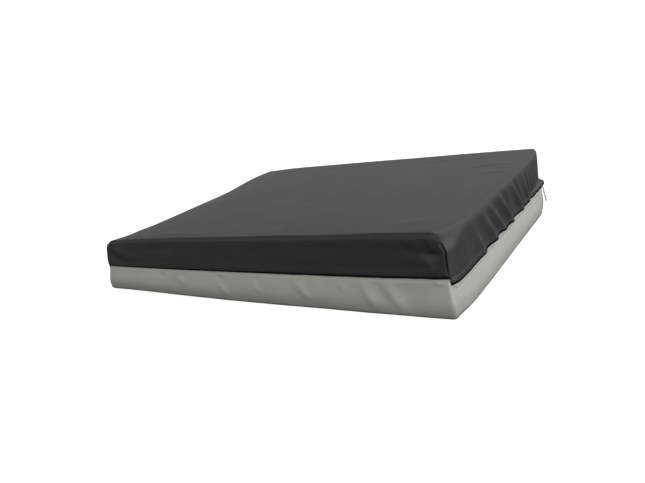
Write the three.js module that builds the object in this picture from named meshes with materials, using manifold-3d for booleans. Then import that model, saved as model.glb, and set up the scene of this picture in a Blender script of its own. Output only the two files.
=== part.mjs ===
// A foam pressure relief mattress in a zipped, two-part wipe-clean cover.
// Millimetres, +Z up, +X along the front edge, +Y from the front to the back.
// The origin is the centre of the underside.
import * as THREE from "three";
import { mergeVertices } from "three/addons/utils/BufferGeometryUtils.js";
import Module from "manifold-3d";

const wasm = await Module();
wasm.setup();

// ---- Driving dimensions ----
const WIDTH = 900; // along X
const DEPTH = 690; // along Y
const HEIGHT = 150;
const FABRIC = 1.2; // coated fabric and its lining, taken together
const CLEARANCE = 0.3; // between pieces that touch

const TOP_ROLL = 24; // radius at which the top rolls over into the walls
const CORNER = 14; // radius of the skirt's upright corners, seen from above

const SEAM_HEIGHT = 71; // the front seam and the zip line
const SKIRT_BOTTOM = 61; // lower edge of the skirt that hides the zip
const BASE_EDGE = 63; // folded upper edge of the base on the zipped sides
const BASE_INSET = 5; // base walls stand this far inside the skirt's outer face

// The zip's layers are given as insets: distances in from the skirt's outer face.
const TAPE_INSET = 6.5;
const TAPE_THICK = 0.5;
const TAPE_WIDTH = 14;
const COIL_INSET = 5.6;
const COIL_THICK = 2;
const COIL_HEIGHT = 2.6;
const COIL_GAP = 1.2; // between the two coils, where the slider's post runs
const FACING_BOTTOM = 76.5; // strip that carries the upper tape
const FACING_TOP = 100;
const ZIP_START = DEPTH / 2 - CORNER; // the zip's ends are this far in front of the centre
const STOP_LENGTH = 5.5;

const SLIDER = { length: 12, height: 9, plate: 1, channel: 2.6, inset: 4.3, post: 3, postHeight: 0.6 };
const SLIDER_FROM_CORNER = 27; // a parked slider's centre to the neighbouring side's skirt
const PIN = { radius: 1.1, headRadius: 2.2, head: 0.5, tip: 1.6 }; // tip is the inset of its outer end
const PULL = { length: 50, topWidth: 6, bottomWidth: 8, thick: 1.2, inset: 2.4, hole: 1.5 };

const FOAM_SIDE = 10; // foam to the skirt's outer face, left and right
const FOAM_BACK = 11; // more at the back, where the opening cover swings inwards
const FOAM_FRONT = 1.6;
const FOAM_CORNER = 6;
const TOP_LAYER = 58; // thickness of the soft top layer
const RAIL_WIDTH = 90; // firmer foam along the left and right edges
const CELLS = { across: 9, along: 7, cut: 4, depth: 32 }; // cut top layer

const ARC_STEPS = 5; // flat facets in each rounded quarter

// ---- Materials ----
function finish(color, roughness, metalness = 0) {
  return () => new THREE.MeshStandardMaterial({ color, roughness, metalness });
}
const coverFabric = finish(0x4c4c4c, 0.5);
const baseFabric = finish(0x8c8d88, 0.55);
const zipTape = finish(0x2b2b2d, 0.9);
const zipCoil = finish(0x1f1f21, 0.4);
const sliderMetal = finish(0x8b8c8e, 0.35, 0.9);
const stopMetal = finish(0x9a9b9d, 0.4, 0.9);
const softFoam = finish(0xd8cfb4, 0.95);
const coreFoam = finish(0xe9e7df, 0.95);
const railFoam = finish(0x8fa3b8, 0.95);

// ---- Solids ----
function toSolid(geometry) {
  const bare = geometry.index ? geometry.toNonIndexed() : geometry.clone();
  bare.deleteAttribute("normal");
  bare.deleteAttribute("uv");
  const merged = mergeVertices(bare, 1e-4);
  return new wasm.Manifold(
    new wasm.Mesh({
      numProp: 3,
      vertProperties: new Float32Array(merged.attributes.position.array),
      triVerts: new Uint32Array(merged.index.array),
    }),
  );
}

function toGeometry(solid) {
  const mesh = solid.getMesh();
  const geometry = new THREE.BufferGeometry();
  geometry.setAttribute("position", new THREE.BufferAttribute(mesh.vertProperties, 3));
  geometry.setIndex(new THREE.BufferAttribute(mesh.triVerts, 1));
  geometry.computeVertexNormals();
  return geometry;
}

function block([x0, x1], [y0, y1], [z0, z1]) {
  const box = new THREE.BoxGeometry(x1 - x0, y1 - y0, z1 - z0);
  return toSolid(box.translate((x0 + x1) / 2, (y0 + y1) / 2, (z0 + z1) / 2));
}

// A rectangle with each corner rounded by its own radius: front or lower pair, then back or upper pair.
function roundedRectangle([u0, u1], [v0, v1], lower, upper) {
  const shape = new THREE.Shape();
  const quarter = Math.PI / 2;
  const corner = (u, v, radius, from) => {
    if (radius > 0) shape.absarc(u, v, radius, from, from + quarter, false);
    else shape.lineTo(u, v);
  };
  shape.moveTo(u0 + lower, v0);
  corner(u1 - lower, v0 + lower, lower, -quarter);
  corner(u1 - upper, v1 - upper, upper, 0);
  corner(u0 + upper, v1 - upper, upper, quarter);
  corner(u0 + lower, v0 + lower, lower, 2 * quarter);
  shape.closePath();
  return shape;
}

function extrude(shape, depth) {
  return new THREE.ExtrudeGeometry(shape, { depth, bevelEnabled: false, curveSegments: ARC_STEPS });
}

// An upright prism: a plan outline from z0 to z1.
function prism(shape, [z0, z1]) {
  return toSolid(extrude(shape, z1 - z0).translate(0, 0, z0));
}

// A block with rounded upright corners whose top rolls over on all four sides.
function pillow(x, y, z, corner, roll) {
  const plan = prism(roundedRectangle(x, y, corner, corner), z);
  const alongY = extrude(roundedRectangle(x, z, 0, roll), y[1] - y[0]);
  alongY.rotateX(Math.PI / 2).translate(0, y[1], 0);
  const alongX = extrude(roundedRectangle(y, z, 0, roll), x[1] - x[0]);
  alongX.rotateX(Math.PI / 2).rotateZ(Math.PI / 2).translate(x[0], 0, 0);
  return plan.intersect(toSolid(alongY)).intersect(toSolid(alongX));
}

// A strip that runs up the right side, along the back and down the left, standing on edge.
function zipBand(inset, thick, z, front = -ZIP_START) {
  const half = WIDTH / 2 - inset;
  const back = DEPTH / 2 - inset;
  const bend = CORNER - inset;
  const inner = { half: half - thick, back: back - thick, bend: bend - thick };
  const shape = new THREE.Shape();
  shape.moveTo(half, front);
  shape.absarc(half - bend, back - bend, bend, 0, Math.PI / 2, false);
  shape.absarc(-half + bend, back - bend, bend, Math.PI / 2, Math.PI, false);
  shape.lineTo(-half, front);
  shape.lineTo(-inner.half, front);
  shape.absarc(-half + bend, back - bend, inner.bend, Math.PI, Math.PI / 2, true);
  shape.absarc(half - bend, back - bend, inner.bend, Math.PI / 2, 0, true);
  shape.lineTo(inner.half, front);
  shape.closePath();
  return prism(shape, z);
}

// ---- Cover ----
function topCover() {
  const outer = pillow(
    [-WIDTH / 2, WIDTH / 2],
    [-DEPTH / 2, DEPTH / 2],
    [SKIRT_BOTTOM, HEIGHT],
    CORNER,
    TOP_ROLL,
  );
  const inner = pillow(
    [-WIDTH / 2 + FABRIC, WIDTH / 2 - FABRIC],
    [-DEPTH / 2 + FABRIC, DEPTH / 2 - FABRIC],
    [0, HEIGHT - FABRIC],
    CORNER - FABRIC,
    TOP_ROLL - FABRIC,
  );
  // The front wall stops at the seam; the skirt starts behind the corner and hangs lower.
  const belowFrontSeam = block([-WIDTH, WIDTH], [-DEPTH, -ZIP_START], [0, SEAM_HEIGHT + CLEARANCE]);
  return outer.subtract(inner).subtract(belowFrontSeam);
}

function baseCover() {
  const half = WIDTH / 2 - BASE_INSET;
  const back = DEPTH / 2 - BASE_INSET;
  const bend = CORNER - BASE_INSET;
  const outer = prism(
    roundedRectangle([-half, half], [-DEPTH / 2, back], bend, bend),
    [0, SEAM_HEIGHT - CLEARANCE],
  );
  const inner = prism(
    roundedRectangle(
      [-half + FABRIC, half - FABRIC],
      [-DEPTH / 2 + FABRIC, back - FABRIC],
      bend - FABRIC,
      bend - FABRIC,
    ),
    [FABRIC, HEIGHT],
  );
  const aboveEdge = block([-WIDTH, WIDTH], [-DEPTH / 2 + bend, DEPTH], [BASE_EDGE, HEIGHT]);
  return outer.subtract(inner).subtract(aboveEdge);
}

function zipFacing() {
  const strip = zipBand(BASE_INSET, FABRIC, [FACING_BOTTOM, FACING_TOP]);
  const reach = BASE_INSET - FABRIC - CLEARANCE;
  const ledge = zipBand(FABRIC + CLEARANCE, reach + FABRIC, [FACING_TOP - FABRIC, FACING_TOP]);
  return strip.add(ledge);
}

// ---- Zip ----
const COIL_START = -ZIP_START + STOP_LENGTH + CLEARANCE;
const LOWER_COIL = [SEAM_HEIGHT - COIL_GAP / 2 - COIL_HEIGHT, SEAM_HEIGHT - COIL_GAP / 2];
const UPPER_COIL = [SEAM_HEIGHT + COIL_GAP / 2, SEAM_HEIGHT + COIL_GAP / 2 + COIL_HEIGHT];

function lowerTape() {
  const top = LOWER_COIL[0] - CLEARANCE;
  return zipBand(TAPE_INSET, TAPE_THICK, [top - TAPE_WIDTH, top]);
}

function upperTape() {
  const bottom = UPPER_COIL[1] + CLEARANCE;
  return zipBand(TAPE_INSET, TAPE_THICK, [bottom, bottom + TAPE_WIDTH]);
}

// A clip pressed over the end of the lower tape, on the right (+1) or the left (-1).
function endStop(side) {
  const spans = (inset, thick) => {
    const outer = WIDTH / 2 - inset;
    return side > 0 ? [outer - thick, outer] : [-outer, -outer + thick];
  };
  const y = [-ZIP_START, -ZIP_START + STOP_LENGTH];
  const body = block(spans(COIL_INSET - CLEARANCE, COIL_THICK + 2 * CLEARANCE), y, [
    LOWER_COIL[0] - COIL_HEIGHT,
    LOWER_COIL[1],
  ]);
  const slot = block(
    spans(TAPE_INSET - CLEARANCE, TAPE_THICK + 2 * CLEARANCE),
    [-DEPTH, DEPTH],
    [0, LOWER_COIL[0]],
  );
  return body.subtract(slot);
}

// A slider in its own frame: travel along X, outboard along Y with the skirt's outer face at 0,
// and the zip line at Z = 0. Its channel is open above and below, where the tapes pass.
function slider() {
  const { length, height, plate, channel, inset, post, postHeight } = SLIDER;
  const plateShape = new THREE.Shape();
  const nose = height / 3;
  plateShape.moveTo(-length / 2, -nose);
  plateShape.lineTo(-length / 2 + nose, -height / 2);
  plateShape.lineTo(length / 2 - nose, -height / 2);
  plateShape.lineTo(length / 2, -nose);
  plateShape.lineTo(length / 2, nose);
  plateShape.lineTo(length / 2 - nose, height / 2);
  plateShape.lineTo(-length / 2 + nose, height / 2);
  plateShape.lineTo(-length / 2, nose);
  plateShape.closePath();
  const plateAt = (depth) => toSolid(extrude(plateShape, plate).rotateX(Math.PI / 2).translate(0, -depth, 0));
  const wedge = block(
    [length / 2 - post - 1, length / 2 - 1],
    [-inset - plate - channel - plate / 2, -inset - plate / 2],
    [-postHeight / 2, postHeight / 2],
  );
  const cylinder = (radius, from, to) => {
    const pin = new THREE.CylinderGeometry(radius, radius, to - from, 4 * ARC_STEPS);
    return toSolid(pin.translate(0, -(from + to) / 2, 0));
  };
  return plateAt(inset)
    .add(plateAt(inset + plate + channel))
    .add(wedge)
    .add(cylinder(PIN.radius, PIN.tip, inset + plate / 2))
    .add(cylinder(PIN.headRadius, PIN.tip, PIN.tip + PIN.head));
}

// A flat tab that hangs from the slider's pin, in the slider's frame.
function pull() {
  const { length, topWidth, bottomWidth, thick, inset, hole } = PULL;
  const shape = new THREE.Shape();
  shape.absarc(0, 0, topWidth / 2, 0, Math.PI, false);
  shape.lineTo(-bottomWidth / 2, -length + bottomWidth);
  shape.absarc(0, -length + bottomWidth / 2, bottomWidth / 2, Math.PI, 2 * Math.PI, false);
  shape.closePath();
  const eye = new THREE.Path();
  eye.absarc(0, 0, hole, 0, 2 * Math.PI, true);
  shape.holes.push(eye);
  return toSolid(extrude(shape, thick).rotateX(Math.PI / 2).translate(0, -inset, 0));
}

// ---- Foam ----
const FOAM_X = WIDTH / 2 - FOAM_SIDE;
const FOAM_Y = [-DEPTH / 2 + FOAM_FRONT, DEPTH / 2 - FOAM_BACK];
const FOAM_Z = [FABRIC + CLEARANCE, HEIGHT - FABRIC - CLEARANCE];
const LAYER_SPLIT = FOAM_Z[1] - TOP_LAYER;

function foamTopLayer() {
  let layer = pillow([-FOAM_X, FOAM_X], FOAM_Y, [LAYER_SPLIT, FOAM_Z[1]], FOAM_CORNER, TOP_ROLL);
  const z = [FOAM_Z[1] - CELLS.depth, HEIGHT];
  for (let i = 1; i < CELLS.across; i++) {
    const x = -FOAM_X + (2 * FOAM_X * i) / CELLS.across;
    layer = layer.subtract(block([x - CELLS.cut / 2, x + CELLS.cut / 2], [-DEPTH, DEPTH], z));
  }
  for (let j = 1; j < CELLS.along; j++) {
    const y = FOAM_Y[0] + ((FOAM_Y[1] - FOAM_Y[0]) * j) / CELLS.along;
    layer = layer.subtract(block([-WIDTH, WIDTH], [y - CELLS.cut / 2, y + CELLS.cut / 2], z));
  }
  return layer;
}

// One of the lower blocks, cut to the foam's own rounded plan.
function foamSlab(x) {
  const z = [FOAM_Z[0], LAYER_SPLIT - CLEARANCE];
  const plan = roundedRectangle([-FOAM_X, FOAM_X], FOAM_Y, FOAM_CORNER, FOAM_CORNER);
  return prism(plan, z).intersect(block(x, FOAM_Y, z));
}

// ---- Assembly ----
const mattress = new THREE.Group();

function place(parent, name, solid, material) {
  const mesh = new THREE.Mesh(toGeometry(solid), material());
  mesh.name = name;
  parent.add(mesh);
  return mesh;
}

place(mattress, "top_cover", topCover(), coverFabric);
place(mattress, "base_cover", baseCover(), baseFabric);
place(mattress, "zip_facing", zipFacing(), coverFabric);
place(mattress, "zip_tape_upper", upperTape(), zipTape);
place(mattress, "zip_tape_lower", lowerTape(), zipTape);
place(mattress, "zip_coil_upper", zipBand(COIL_INSET, COIL_THICK, UPPER_COIL, COIL_START), zipCoil);
place(mattress, "zip_coil_lower", zipBand(COIL_INSET, COIL_THICK, LOWER_COIL, COIL_START), zipCoil);
place(mattress, "zip_stop_right", endStop(1), stopMetal);
place(mattress, "zip_stop_left", endStop(-1), stopMetal);

// The two sliders park nose to nose at the back right corner, one on each side of it.
// A slider's own frame has its nose towards +X.
const sliderSides = {
  back: { at: [WIDTH / 2 - SLIDER_FROM_CORNER, DEPTH / 2, SEAM_HEIGHT], turn: 0, mirror: 1 },
  right: { at: [WIDTH / 2, DEPTH / 2 - SLIDER_FROM_CORNER, SEAM_HEIGHT], turn: -Math.PI / 2, mirror: -1 },
};
for (const [side, { at, turn, mirror }] of Object.entries(sliderSides)) {
  const spot = new THREE.Group();
  spot.position.set(...at);
  spot.rotation.z = turn;
  spot.scale.x = mirror;
  mattress.add(spot);
  place(spot, "zip_slider_" + side, slider(), sliderMetal);
  place(spot, "zip_pull_" + side, pull(), sliderMetal);
}

place(mattress, "foam_top_layer", foamTopLayer(), softFoam);
const coreHalf = FOAM_X - RAIL_WIDTH;
place(mattress, "foam_core", foamSlab([-coreHalf, coreHalf]), coreFoam);
place(mattress, "foam_rail_left", foamSlab([-FOAM_X, -coreHalf - CLEARANCE]), railFoam);
place(mattress, "foam_rail_right", foamSlab([coreHalf + CLEARANCE, FOAM_X]), railFoam);

export default mattress;
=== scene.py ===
"""A foam pressure relief mattress in a zipped, two-part wipe-clean cover.

Shapes are worked out in millimetres in the frame's own axes (+X along the front, +Y to the back, +Z up)
and turned into metres when a mesh is made.
"""
import math

import bmesh
import bpy
import numpy as np
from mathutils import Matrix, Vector, noise
from mathutils.bvhtree import BVHTree


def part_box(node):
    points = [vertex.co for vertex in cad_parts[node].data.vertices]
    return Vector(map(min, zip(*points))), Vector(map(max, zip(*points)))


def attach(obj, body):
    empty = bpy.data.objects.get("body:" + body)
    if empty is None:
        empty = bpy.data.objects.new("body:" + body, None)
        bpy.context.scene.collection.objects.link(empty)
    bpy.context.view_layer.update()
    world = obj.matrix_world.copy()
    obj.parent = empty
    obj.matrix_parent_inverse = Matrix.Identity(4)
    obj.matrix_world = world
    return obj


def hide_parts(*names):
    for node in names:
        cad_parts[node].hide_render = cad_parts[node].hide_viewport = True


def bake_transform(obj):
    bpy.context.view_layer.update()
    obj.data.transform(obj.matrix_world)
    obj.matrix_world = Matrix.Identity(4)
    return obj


MM = 0.001


# ---- Camera ----
def make_camera():
    data = bpy.data.cameras.new("camera")
    data.sensor_width = 36
    data.lens = 33.52
    data.clip_end = 50
    camera = bpy.data.objects.new("camera", data)
    camera.location = (0.8068, -1.2356, 0.4543)
    camera.rotation_euler = [math.radians(a) for a in (73.535, 9.945, 31.371)]
    bpy.context.collection.objects.link(camera)
    bpy.context.scene.camera = camera


make_camera()
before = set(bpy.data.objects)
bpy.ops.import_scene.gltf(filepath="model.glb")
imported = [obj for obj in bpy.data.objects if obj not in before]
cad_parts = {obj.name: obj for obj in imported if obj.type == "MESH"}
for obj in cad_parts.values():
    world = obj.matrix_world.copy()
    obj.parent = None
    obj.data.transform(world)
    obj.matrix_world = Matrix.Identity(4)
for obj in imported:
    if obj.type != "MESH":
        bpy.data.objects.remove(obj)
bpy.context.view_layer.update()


def box_mm(node):
    return [np.array(corner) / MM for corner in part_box(node)]


# ---- Dimensions from the frame ----
COVER_LOW, COVER_HIGH = box_mm("top_cover")
BASE_LOW, BASE_HIGH = box_mm("base_cover")
FOAM_LOW, FOAM_HIGH = box_mm("foam_top_layer")
HALF_X, HALF_Y = COVER_HIGH[0], COVER_HIGH[1]
TOP, HEM = COVER_HIGH[2], COVER_LOW[2]
SEAM = BASE_HIGH[2] + 0.3  # the front seam, where the cover hinges
FABRIC = 1.2  # thickness of the cover's fabric
FACING = 0.9  # of the strip behind the skirt
BINDING = 0.7  # of the front seam's binding
TAPE = 0.5  # of the zip's tapes
COVER_ROLL = 9.0  # radius of the tight fold between the top and the walls

# Corners go front left, front right, back right, back left.
COVER_CORNER = (10, 6, 12, 7)  # radius of the upright corners, seen from above
BASE_CORNER = (7, 4, 12, 12)
TOP_RISE = (-9, 7, 8, 1)  # how far the worn top stands above or below its nominal height
ZIP_CORNER = 27  # bend of the zip round the back corners
WORN_RIGHT, WORN_LEFT = 22.0, 12.0  # radius of the cover's back corners once worn
WORN_BASE = 27.0  # and of the base's
FOAM_CORNER = 20.0  # radius of the foam's back corners, and of its upper edges

TURN_STEPS = 7  # mesh rows in half a rounded edge
HEM_BAND = 15  # the skirt's sewn hem
EDGE_BAND = 11  # the base's folded upper edge


# ---- Small helpers ----
def smooth(low, high, value):
    t = np.clip((value - low) / (high - low), 0, 1)
    return t * t * (3 - 2 * t)


def bump(value, middle, width):
    return np.exp(-(((value - middle) / width) ** 2))


def unit(vectors):
    return vectors / np.linalg.norm(vectors, axis=-1, keepdims=True)


def at_corners(place, values):
    """Values given at the four corners, spread over places from -1 to 1 each way."""
    x, y = place[..., 0], place[..., 1]
    front = values[0] * (1 - x) + values[1] * (1 + x)
    back = values[3] * (1 - x) + values[2] * (1 + x)
    return (front * (1 - y) + back * (1 + y)) / 4


def grid_faces(grid):
    """Faces between the points of a grid of point numbers."""
    return np.stack([grid[:-1, :-1], grid[1:, :-1], grid[1:, 1:], grid[:-1, 1:]], -1).reshape(-1, 4)


def ring_faces(rings):
    """The same for closed rings of points, one below the other."""
    turned = np.roll(rings, -1, axis=1)
    return np.stack([rings[:-1], rings[1:], turned[1:], turned[:-1]], -1).reshape(-1, 4)


def strip(rows):
    """Points and faces of a sheet given as equal rows of points."""
    points = np.concatenate(rows)
    grid = np.arange(len(points)).reshape(len(rows), -1)
    return points, grid_faces(grid.T)


def tube_faces(rings, sides):
    """Faces of a closed tube whose points are given ring by ring."""
    numbers = np.arange(rings * sides).reshape(rings, sides)
    walls = ring_faces(numbers[::-1]).tolist()
    return [numbers[0, ::-1].tolist()] + walls + [numbers[-1].tolist()]


def round_corner(points, sign, half, radius, was, axes=(0, 1)):
    """Draws in an edge whose radius was smaller to a larger radius, seen along the third axis.

    The new radius may differ by point.
    """
    axes = list(axes)
    radius = np.broadcast_to(radius, (len(points),))
    from_centre = points[:, axes] * sign - (np.array(half) - radius[:, None])
    inside = np.all(from_centre > 0, axis=1)
    towards = unit(np.maximum(from_centre, 1e-6))
    centre = radius - was
    total = centre * towards.sum(axis=1)
    at_turn = total + np.sqrt(np.maximum(total**2 - 2 * centre**2 + was**2, 0))
    on_turn = towards.min(axis=1) * radius > towards.max(axis=1) * centre
    reach = np.where(on_turn, at_turn, radius / towards.max(axis=1))
    share = np.where(inside, radius / reach, 1.0)
    moved = points.copy()
    moved[:, axes] += from_centre * (share[:, None] - 1) * sign
    return moved


def round_back(points, half, right, left, corners):
    """Rounds the two back corners to larger radii."""
    points = round_corner(points, (1, 1), half, right, corners[2])
    return round_corner(points, (-1, 1), half, left, corners[3])


def draw_in(points):
    """The back corners are pulled in above the zip, where the cover fits tightly."""
    x, y, z = points.T
    right = bump(y, HALF_Y, 105) * smooth(HALF_X - 160, HALF_X - 20, x)
    left = bump(y, HALF_Y, 75) * smooth(HALF_X - 160, HALF_X - 20, -x)
    above_zip = smooth(SEAM + 3, SEAM + 9, z)
    moved = points.copy()
    moved[:, 0] -= (0.6 + 11.4 * above_zip) * right * smooth(HEM - 12, HEM, z)
    moved[:, 0] += 18 * smooth(SEAM + 16, SEAM + 66, z) * left
    return moved


def ripple(points, size, seed):
    """Smooth noise about 0, with waves of about this size in millimetres."""
    shift = Vector((seed * 17.3, seed * 5.1, seed * 9.7))
    return np.array([noise.noise(Vector(p) / size + shift) for p in points])


def new_object(name, data):
    made = bpy.data.objects.new(name, data)
    bpy.context.collection.objects.link(made)
    return made


def mesh_object(name, vertices, faces, materials, body):
    mesh = bpy.data.meshes.new(name)
    mesh.from_pydata((np.asarray(vertices) * MM).tolist(), [], [list(map(int, f)) for f in faces])
    mesh.validate()
    mesh.shade_smooth()
    for material in materials:
        mesh.materials.append(material)
    piece = new_object(name, mesh)
    if body:
        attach(piece, body)
    return piece


def apply_modifiers(piece):
    bpy.context.view_layer.update()
    shown = piece.evaluated_get(bpy.context.evaluated_depsgraph_get())
    finished = bpy.data.meshes.new_from_object(shown)
    piece.modifiers.clear()
    piece.data = finished


def thicken(piece, thickness):
    """Gives a sheet its thickness, inwards, with the next material on its inner face."""
    solidify = piece.modifiers.new("thickness", "SOLIDIFY")
    solidify.thickness = thickness * MM
    solidify.offset = -1
    solidify.material_offset = min(1, len(piece.data.materials) - 1)
    apply_modifiers(piece)


# ---- A panel with four walls, as one grid ----
def side_lines(flat_half, step):
    """Grid lines across one side: the place on its flat stretch, and the tangent of the end turns."""
    turn = np.tan(np.linspace(0, math.pi / 4, TURN_STEPS + 1)[1:])
    count = int(round(2 * flat_half / step)) + 1
    place = np.concatenate([-np.ones(TURN_STEPS), np.linspace(-1, 1, count), np.ones(TURN_STEPS)])
    tangent = np.concatenate([-turn[::-1], np.zeros(count), turn])
    return place, tangent


def perimeter(nx, ny):
    """The grid's outer points, anticlockwise from the front left."""
    front = [(i, 0) for i in range(nx)]
    right = [(nx - 1, j) for j in range(1, ny)]
    back = [(i, ny - 1) for i in range(nx - 2, -1, -1)]
    left = [(0, j) for j in range(ny - 2, 0, -1)]
    return np.array(front + right + back + left)


def tray(half, middle_y, roll, corners, step, rises, edge_height, height):
    """A panel at the top, edges rounded to the radius roll, and four walls that hang from it.

    rises are the wall rows' heights above the free edge. edge_height gives that edge's height for each
    column, from its place and the way it faces. Returns the points, the way each faces, the faces, and
    the wall's grid of point numbers.
    """
    place_x, turn_x = side_lines(half[0], step)
    place_y, turn_y = side_lines(half[1], step)
    nx, ny = len(place_x), len(place_y)
    place = np.stack(np.meshgrid(place_x, place_y, indexing="ij"), -1)
    turn = np.stack(np.meshgrid(turn_x, turn_y, indexing="ij"), -1)
    half = np.array(half)

    def rounded(where, direction):
        facing = unit(direction)
        points = np.empty(facing.shape)
        points[..., :2] = where * (half - roll) + roll * facing[..., :2]
        points[..., 2] = height - roll + roll * facing[..., 2]
        return points, facing

    upward = np.ones(turn.shape[:2] + (1,))
    panel, panel_facing = rounded(place, np.concatenate([turn, upward], -1))
    loop = perimeter(nx, ny)
    column_place = place[loop[:, 0], loop[:, 1]]
    column_turn = turn[loop[:, 0], loop[:, 1]]
    rows, facings = [], []
    for step_down in range(1, TURN_STEPS + 1):
        slope = math.tan(math.pi / 4 * (1 - step_down / TURN_STEPS))
        direction = np.concatenate([column_turn, np.full((len(loop), 1), slope)], -1)
        points, facing = rounded(column_place, direction)
        rows.append(points)
        facings.append(facing)
    outward = unit(column_turn)
    below = height - roll
    edge = edge_height(column_place * half, outward)
    tight = at_corners(column_place, corners)
    tallest = np.max(below - edge)
    for rise in [r for r in rises[::-1] if r < tallest - 2]:
        z = edge + rise * (below - edge) / tallest
        radius = roll + (tight - roll) * smooth(0, 22, below - z)
        flat = column_place * (half - radius[:, None]) + radius[:, None] * outward
        rows.append(np.concatenate([flat, z[:, None]], -1))
        facings.append(np.concatenate([outward, np.zeros((len(loop), 1))], -1))
    points = np.concatenate([panel.reshape(-1, 3)] + rows)
    facing = np.concatenate([panel_facing.reshape(-1, 3)] + facings)
    points[:, 1] += middle_y

    faces, wall = walled_faces(nx, ny, loop, len(rows))
    return points, facing, faces, wall


def walled_faces(nx, ny, loop, rows):
    """Faces of a panel with rows of wall points round it, and the wall's grid of point numbers."""
    panel = np.arange(nx * ny).reshape(nx, ny)
    wall = nx * ny + np.arange(rows * len(loop)).reshape(rows, len(loop))
    wall = np.concatenate([panel[loop[:, 0], loop[:, 1]][None], wall])
    return np.concatenate([grid_faces(panel), ring_faces(wall)]), wall


# ---- Creases and folds ----
SIDES = {
    "front": (np.array([0, -1, 0]), 0),
    "right": (np.array([1, 0, 0]), 1),
    "back": (np.array([0, 1, 0]), 0),
    "left": (np.array([-1, 0, 0]), 1),
}


def on_line(along, across, start, end):
    """How far along a line points are, from 0 to 1, and how far off it in millimetres."""
    run = np.array(end, float) - start
    length = math.hypot(*run)
    t = ((along - start[0]) * run[0] + (across - start[1]) * run[1]) / length**2
    off = ((along - start[0]) * run[1] - (across - start[1]) * run[0]) / length
    return t, off


def crease(along, across, start, end, width, depth):
    """A ridge (or, with a negative depth, a dent) along the straight line from start to end."""
    t, off = on_line(along, across, start, end)
    return depth * smooth(-0.1, 0.45, t) * (1 - smooth(0.6, 1.1, t)) * bump(off, 0, width)


def on_side(points, facing, side, creases):
    """Moves a wall's points outwards by the sum of its creases."""
    direction, axis = SIDES[side]
    weight = smooth(0.35, 0.9, facing @ direction)
    if side in ("left", "right"):
        weight = weight * smooth(18, 60, HALF_Y - points[:, 1]) * smooth(6, 50, HALF_Y + points[:, 1])
    if side == "back":
        weight = weight * smooth(18, 60, HALF_X - np.abs(points[:, 0]))
    total = sum(creases(points[:, axis], points[:, 2]), np.zeros(len(points)))
    return (weight * total)[:, None] * direction


def fold(along, height, start, end, width, depth):
    """A sharp ridge down a skirt, with a pocket on its far side, along the line from start to end."""
    t, off = on_line(along, height, start, end)
    side_width = np.where(off > 0, 1.5 * width, 0.7 * width)
    ridge = bump(off, 0, side_width) * (1 - 0.5 * smooth(0.6, 1, t))
    pocket = bump(off, -1.9 * width, 1.2 * width) * (1 - smooth(0.6, 0.9, t))
    return smooth(-0.1, 0.7, t) * depth * (ridge - 0.3 * pocket)


# Folds of the right skirt: y and z where each starts near the top, y at the hem, width, height, and how
# far the hem climbs behind it.
RIGHT_FOLDS = [
    ((-300, 118), -250, 20, 2.5, 0),
    ((-244, 134), -180, 13, 5.0, 5.5),
    ((-180, 138), -103, 10, 6.0, 6.0),
    ((-144, 147), -40, 9, 6.5, 1.5),
    ((-76, 150), 18, 8, 7.5, 6.5),
    ((16, 150), 108, 8, 7.5, 3.0),
    ((70, 140), 138, 6, 3.0, 1.0),
    ((118, 148), 166, 8, 6.0, 4.0),
    ((158, 148), 196, 6, 3.5, 0),
    ((196, 152), 222, 8, 5.0, 1.5),
    ((240, 154), 256, 8, 4.0, 0),
    ((285, 150), 292, 8, 3.0, 0),
]


def skirt_folds(half, seed):
    """Folds for a skirt that hangs plain at its corners, spaced unevenly."""
    draw = np.random.RandomState(seed)
    folds = []
    at = -half + 60
    while at < half - 50:
        top = draw.uniform(126, 148)
        hem = at + draw.uniform(-40, 40)
        height = draw.uniform(3.5, 6.5)
        folds.append(((at, top), hem, draw.uniform(8, 12), height, draw.uniform(0, height)))
        at += draw.uniform(52, 92)
    return sorted(folds, key=lambda one: one[1])


BACK_FOLDS = skirt_folds(HALF_X, 4)
LEFT_FOLDS = skirt_folds(HALF_Y, 9)


def creases_of(creases):
    return lambda a, z: [crease(a, z, *line) for line in creases]


def folds_of(folds):
    return lambda a, z: [fold(a, z, start, (hem, HEM), width, depth) for start, hem, width, depth, _ in folds]


def hem_wave(along, folds):
    """The hem climbs just behind each fold, and sinks again before the next."""
    ends = [hem for _, hem, _, _, _ in folds]
    total = np.zeros(len(along))
    for (_, hem, _, _, lift), following in zip(folds, ends[1:] + [ends[-1] + 70]):
        behind = along - hem
        total += lift * smooth(-7, 7, behind) * (1 - np.clip(behind / (following - hem + 7), 0, 1))
    return total


# Dents and ridges of the cover's front wall, near its two corner seams.
FRONT_CREASES = [
    ((352, 128), (430, 108), 9, -2.6),
    ((404, 112), (438, 116), 6, -4.0),
    ((366, 146), (420, 84), 10, 2.2),
    ((392, 150), (434, 124), 7, 1.2),
    ((380, 78), (440, 92), 8, 1.4),
    ((-438, 126), (-396, 84), 10, -2.0),
    ((-424, 132), (-340, 92), 12, 1.4),
    ((-300, 126), (-190, 128), 12, -1.0),
    ((-160, 84), (60, 80), 12, 0.7),
    ((60, 126), (240, 92), 18, 0.7),
]


# Long shallow ripples of the top: start, end, width, height.
TOP_RIPPLES = [
    ((290, 166), (425, 180), 6, 1.3),
    ((350, 92), (430, 100), 7, 1.1),
    ((375, 139), (428, 146), 5, 1.0),
    ((120, 262), (400, 290), 9, 0.9),
    ((-260, 286), (120, 300), 12, 0.7),
    ((-300, -300), (-60, -322), 14, 0.9),
    ((-430, -230), (-340, -325), 12, 1.2),
    ((300, -300), (420, -250), 16, 0.8),
    ((-420, 120), (-380, 300), 13, 0.8),
]


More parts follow.
